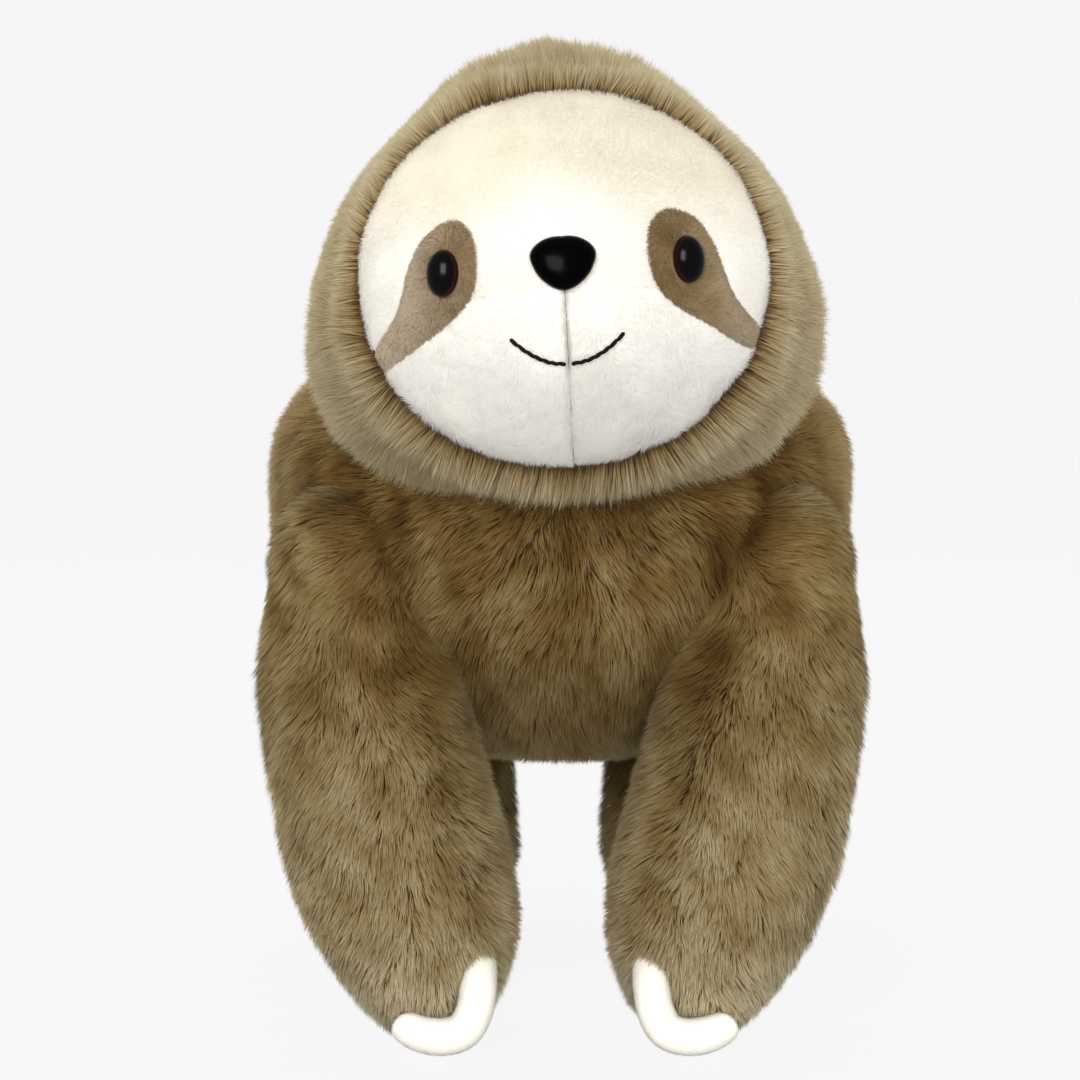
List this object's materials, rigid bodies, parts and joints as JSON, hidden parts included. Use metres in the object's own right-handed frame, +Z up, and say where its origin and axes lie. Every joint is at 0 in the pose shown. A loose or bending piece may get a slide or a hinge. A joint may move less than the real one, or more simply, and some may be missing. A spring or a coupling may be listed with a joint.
{
  "type": "plush sloth",
  "caption": "Standing plush sloth toy with long arms, short legs, a round head with a sewn face, glossy eyes and nose, and soft hooked claws.",
  "frame": {"origin": "on the floor, under the middle of the toy's bounding box", "axes": "+Z up, the face looks along -Y, +X is the right of someone who looks at the face"},
  "size_m": [0.3064, 0.383, 0.4792],
  "materials": {
    "taupe_fur": "long pile faux fur",
    "cream_plush": "short nap",
    "brown_plush": "short nap",
    "white_plush": "short nap",
    "black_gloss": "polished",
    "black_thread": "twisted thread",
    "polyester_fibre": "loose fibre",
    "pellet_pouch": "woven pouch of pellets",
    "white_plastic": "moulded"
  },
  "bodies": {
    "torso": {"torso_back_panel": "taupe_fur", "torso_belly_panel": "taupe_fur", "torso_stuffing": "polyester_fibre", "seat_pouch": "pellet_pouch"},
    "neck": {"neck": "taupe_fur"},
    "head": {"head_skin": "taupe_fur", "face_forehead": "cream_plush", "muzzle_left": "cream_plush", "muzzle_right": "cream_plush", "eye_patch_left": "brown_plush", "eye_patch_right": "brown_plush", "eye_left": "black_gloss", "eye_right": "black_gloss", "eye_washer_left": "white_plastic", "eye_washer_right": "white_plastic", "nose": "black_gloss", "nose_washer": "white_plastic", "mouth_stitch_left": "black_thread", "mouth_stitch_right": "black_thread", "head_stuffing": "polyester_fibre"},
    "arm_left": {"arm_skin_left": "taupe_fur", "arm_stuffing_left": "polyester_fibre", "paw_pouch_left": "pellet_pouch", "claw_left": "white_plush"},
    "arm_right": {"arm_skin_right": "taupe_fur", "arm_stuffing_right": "polyester_fibre", "paw_pouch_right": "pellet_pouch", "claw_right": "white_plush"},
    "leg_left": {"leg_skin_left": "taupe_fur", "leg_stuffing_left": "polyester_fibre", "foot_pouch_left": "pellet_pouch", "foot_claw_left": "white_plush"},
    "leg_right": {"leg_skin_right": "taupe_fur", "leg_stuffing_right": "polyester_fibre", "foot_pouch_right": "pellet_pouch", "foot_claw_right": "white_plush"}
  },
  "joints": [
    {"name": "head_turn", "type": "hinge", "parent": "torso", "child": "neck", "pos_m": [0, -0.0579, 0.3685], "axis": [0, 0, 1], "range_deg": [-20, 20]},
    {"name": "head_nod", "type": "hinge", "parent": "neck", "child": "head", "pos_m": [0, -0.0579, 0.3685], "axis": [1, 0, 0], "range_deg": [-12, 12]},
    {"name": "arm_left_swing", "type": "hinge", "parent": "torso", "child": "arm_left", "pos_m": [-0.104, -0.0429, 0.225], "axis": [-1, 0, 0], "range_deg": [-8, 60]},
    {"name": "arm_right_swing", "type": "hinge", "parent": "torso", "child": "arm_right", "pos_m": [0.104, -0.0429, 0.225], "axis": [-1, 0, 0], "range_deg": [-8, 60]},
    {"name": "leg_left_swing", "type": "hinge", "parent": "torso", "child": "leg_left", "pos_m": [-0.0705, 0.1021, 0.12], "axis": [-1, 0, 0], "range_deg": [-25, 25]},
    {"name": "leg_right_swing", "type": "hinge", "parent": "torso", "child": "leg_right", "pos_m": [0.0705, 0.1021, 0.12], "axis": [-1, 0, 0], "range_deg": [-25, 25]}
  ]
}
